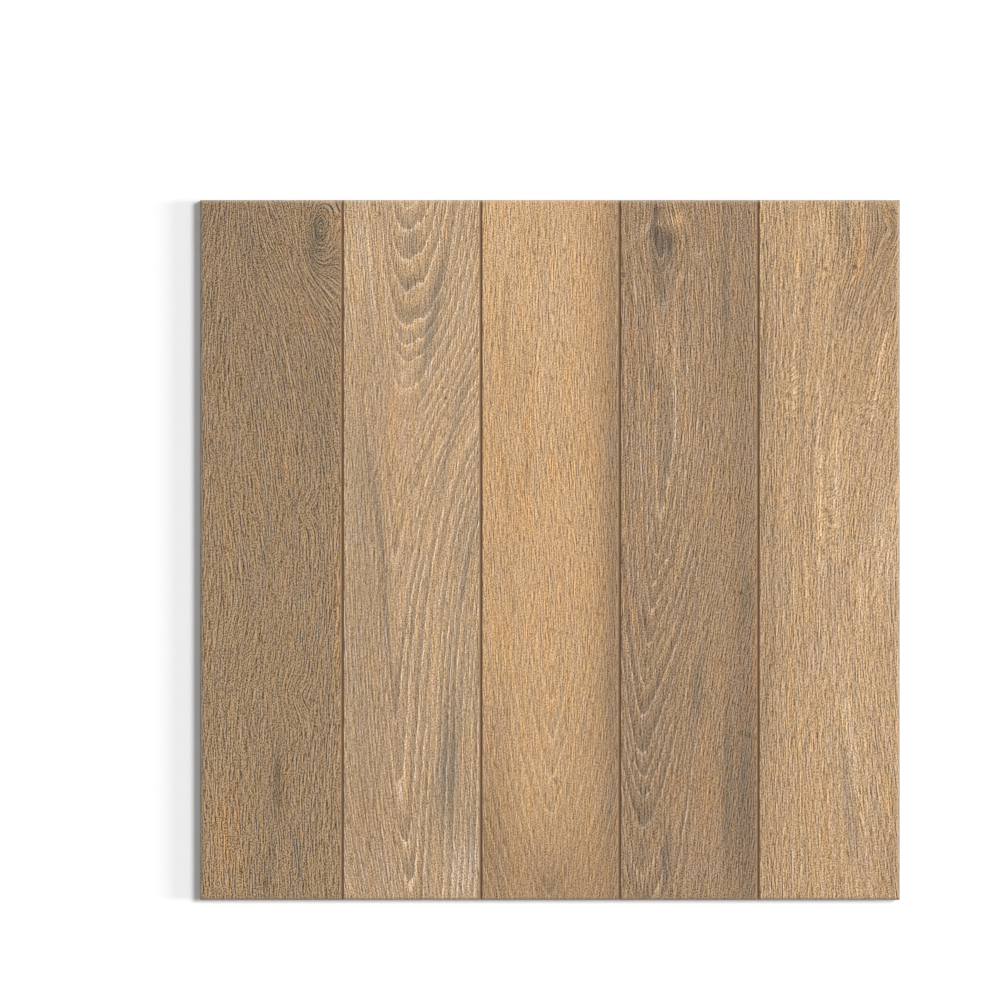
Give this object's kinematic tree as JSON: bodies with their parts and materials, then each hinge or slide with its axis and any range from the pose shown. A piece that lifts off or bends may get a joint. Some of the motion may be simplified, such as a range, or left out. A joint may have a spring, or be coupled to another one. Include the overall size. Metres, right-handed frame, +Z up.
{
  "type": "wood look porcelain tile",
  "caption": "Square wood look porcelain floor tile pressed and printed as boards side by side, with sunk joints, a rolled edge and a ribbed back.",
  "frame": {"origin": "middle of the underside, at the feet of the ribs, with the tile lying flat", "axes": "+X across the boards, +Y along the boards and the grain, +Z up out of the wear face"},
  "size_m": [0.6, 0.6, 0.009],
  "materials": {
    "wood_look_porcelain": "matte"
  },
  "bodies": {
    "root": {"plank_tile": "wood_look_porcelain"}
  },
  "joints": []
}
